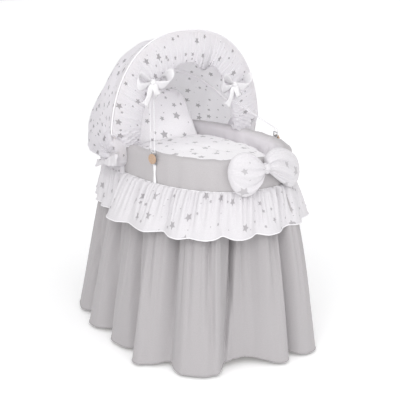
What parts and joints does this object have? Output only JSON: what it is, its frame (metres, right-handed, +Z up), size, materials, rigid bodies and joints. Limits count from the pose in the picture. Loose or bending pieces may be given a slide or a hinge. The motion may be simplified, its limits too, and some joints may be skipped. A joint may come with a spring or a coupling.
{
  "type": "bassinet on stand",
  "caption": "Oval wicker bassinet with a folding hood, padded bumper, gathered frill and floor-length skirt, on a wooden stand with swivel castors.",
  "frame": {"origin": "on the floor under the middle of the basket", "axes": "+X points to the foot end, +Y to the left-hand side of a sleeper who lies on their back, +Z up"},
  "size_m": [1.052, 0.794, 1.107],
  "materials": {
    "beech": "satin lacquer",
    "wicker": "peeled willow, clear lacquer",
    "steel": "bright nickel",
    "castor_plastic": "moulded",
    "tread": "soft tread",
    "grey_cotton": "plain weave cotton",
    "star_cotton": "plain weave cotton with a print of small grey stars",
    "white_cotton": "plain white cotton",
    "satin": "satin ribbon"
  },
  "bodies": {
    "stand": {"end_rail_head": "beech", "slat_head": "beech", "leg_head_left": "beech", "rail_bolt_head_left": "steel", "leg_head_right": "beech", "rail_bolt_head_right": "steel", "end_rail_foot": "beech", "slat_foot": "beech", "leg_foot_left": "beech", "rail_bolt_foot_left": "steel", "leg_foot_right": "beech", "rail_bolt_foot_right": "steel", "side_rail_left": "beech", "side_rail_right": "beech", "shelf": "beech"},
    "basket": {"basket_wall": "wicker", "basket_base": "wicker", "basket_rim": "wicker", "bumper": "grey_cotton", "mattress": "white_cotton", "pillow": "star_cotton", "duvet": "star_cotton", "skirt": "grey_cotton", "frill": "star_cotton", "canopy": "star_cotton", "foot_bow": "star_cotton", "foot_bow_knot": "star_cotton", "hood_bracket_left": "steel", "hood_bracket_right": "steel", "hood_pin_left": "steel", "hood_pin_right": "steel", "clip_frame_left": "steel", "clip_frame_right": "steel", "satin_tab_left": "satin", "satin_tab_right": "satin", "hood_cord_left": "white_cotton", "hood_cord_right": "white_cotton"},
    "hood_front": {"front_hoop": "wicker", "valance": "star_cotton", "satin_bow_left": "satin", "satin_bow_right": "satin"},
    "hood_rear": {"rear_hoop": "wicker"},
    "clip_left": {"clip_lever_left": "steel", "clip_disc_left": "beech"},
    "clip_right": {"clip_lever_right": "steel", "clip_disc_right": "beech"},
    "castor_head_left": {"castor_fork_head_left": "castor_plastic", "axle_head_left": "steel"},
    "wheel_head_left": {"wheel_head_left": "tread"},
    "castor_head_right": {"castor_fork_head_right": "castor_plastic", "axle_head_right": "steel"},
    "wheel_head_right": {"wheel_head_right": "tread"},
    "castor_foot_left": {"castor_fork_foot_left": "castor_plastic", "axle_foot_left": "steel"},
    "wheel_foot_left": {"wheel_foot_left": "tread"},
    "castor_foot_right": {"castor_fork_foot_right": "castor_plastic", "axle_foot_right": "steel"},
    "wheel_foot_right": {"wheel_foot_right": "tread"},
    "brake_left": {"brake_lever_left": "castor_plastic"},
    "brake_right": {"brake_lever_right": "castor_plastic"}
  },
  "joints": [
    {"name": "basket_lift", "type": "slide", "parent": "stand", "child": "basket", "axis": [0, 0, 1], "range_m": [0, 0.5]},
    {"name": "hood_fold", "type": "hinge", "parent": "basket", "child": "hood_front", "pos_m": [-0.036, 0, 0.689], "axis": [0, -1, 0], "range_deg": [0, 50], "deforming": ["canopy", "valance", "hood_cord_left", "hood_cord_right"]},
    {"name": "rear_hoop_fold", "type": "hinge", "parent": "basket", "child": "hood_rear", "pos_m": [-0.036, 0, 0.689], "axis": [0, -1, 0], "range_deg": [0, 25]},
    {"name": "clip_lever_left", "type": "hinge", "parent": "basket", "child": "clip_left", "pos_m": [0.15105, -0.27069, 0.688], "axis": [0.9845, 0.1754, 0], "range_deg": [0, 70]},
    {"name": "clip_lever_right", "type": "hinge", "parent": "basket", "child": "clip_right", "pos_m": [0.15105, 0.27069, 0.688], "axis": [-0.9845, 0.1754, 0], "range_deg": [0, 70]},
    {"name": "castor_swivel_head_left", "type": "hinge", "parent": "stand", "child": "castor_head_left", "pos_m": [-0.27, -0.15, 0.072], "axis": [0, 0, 1], "continuous": true},
    {"name": "wheel_roll_head_left", "type": "hinge", "parent": "castor_head_left", "child": "wheel_head_left", "pos_m": [-0.29, -0.15, 0.025], "axis": [0, 1, 0], "continuous": true},
    {"name": "castor_swivel_head_right", "type": "hinge", "parent": "stand", "child": "castor_head_right", "pos_m": [-0.27, 0.15, 0.072], "axis": [0, 0, 1], "continuous": true},
    {"name": "wheel_roll_head_right", "type": "hinge", "parent": "castor_head_right", "child": "wheel_head_right", "pos_m": [-0.29, 0.15, 0.025], "axis": [0, 1, 0], "continuous": true},
    {"name": "castor_swivel_foot_left", "type": "hinge", "parent": "stand", "child": "castor_foot_left", "pos_m": [0.27, -0.15, 0.072], "axis": [0, 0, 1], "continuous": true},
    {"name": "wheel_roll_foot_left", "type": "hinge", "parent": "castor_foot_left", "child": "wheel_foot_left", "pos_m": [0.25, -0.15, 0.025], "axis": [0, 1, 0], "continuous": true},
    {"name": "castor_swivel_foot_right", "type": "hinge", "parent": "stand", "child": "castor_foot_right", "pos_m": [0.27, 0.15, 0.072], "axis": [0, 0, 1], "continuous": true},
    {"name": "wheel_roll_foot_right", "type": "hinge", "parent": "castor_foot_right", "child": "wheel_foot_right", "pos_m": [0.25, 0.15, 0.025], "axis": [0, 1, 0], "continuous": true},
    {"name": "brake_press_left", "type": "hinge", "parent": "castor_foot_left", "child": "brake_left", "pos_m": [0.229, -0.15, 0.06], "axis": [0, -1, 0], "range_deg": [0, 16]},
    {"name": "brake_press_right", "type": "hinge", "parent": "castor_foot_right", "child": "brake_right", "pos_m": [0.229, 0.15, 0.06], "axis": [0, -1, 0], "range_deg": [0, 16]}
  ],
  "couplings": [
    {"joint": "rear_hoop_fold", "follows": "hood_fold", "ratio": 0.5}
  ]
}
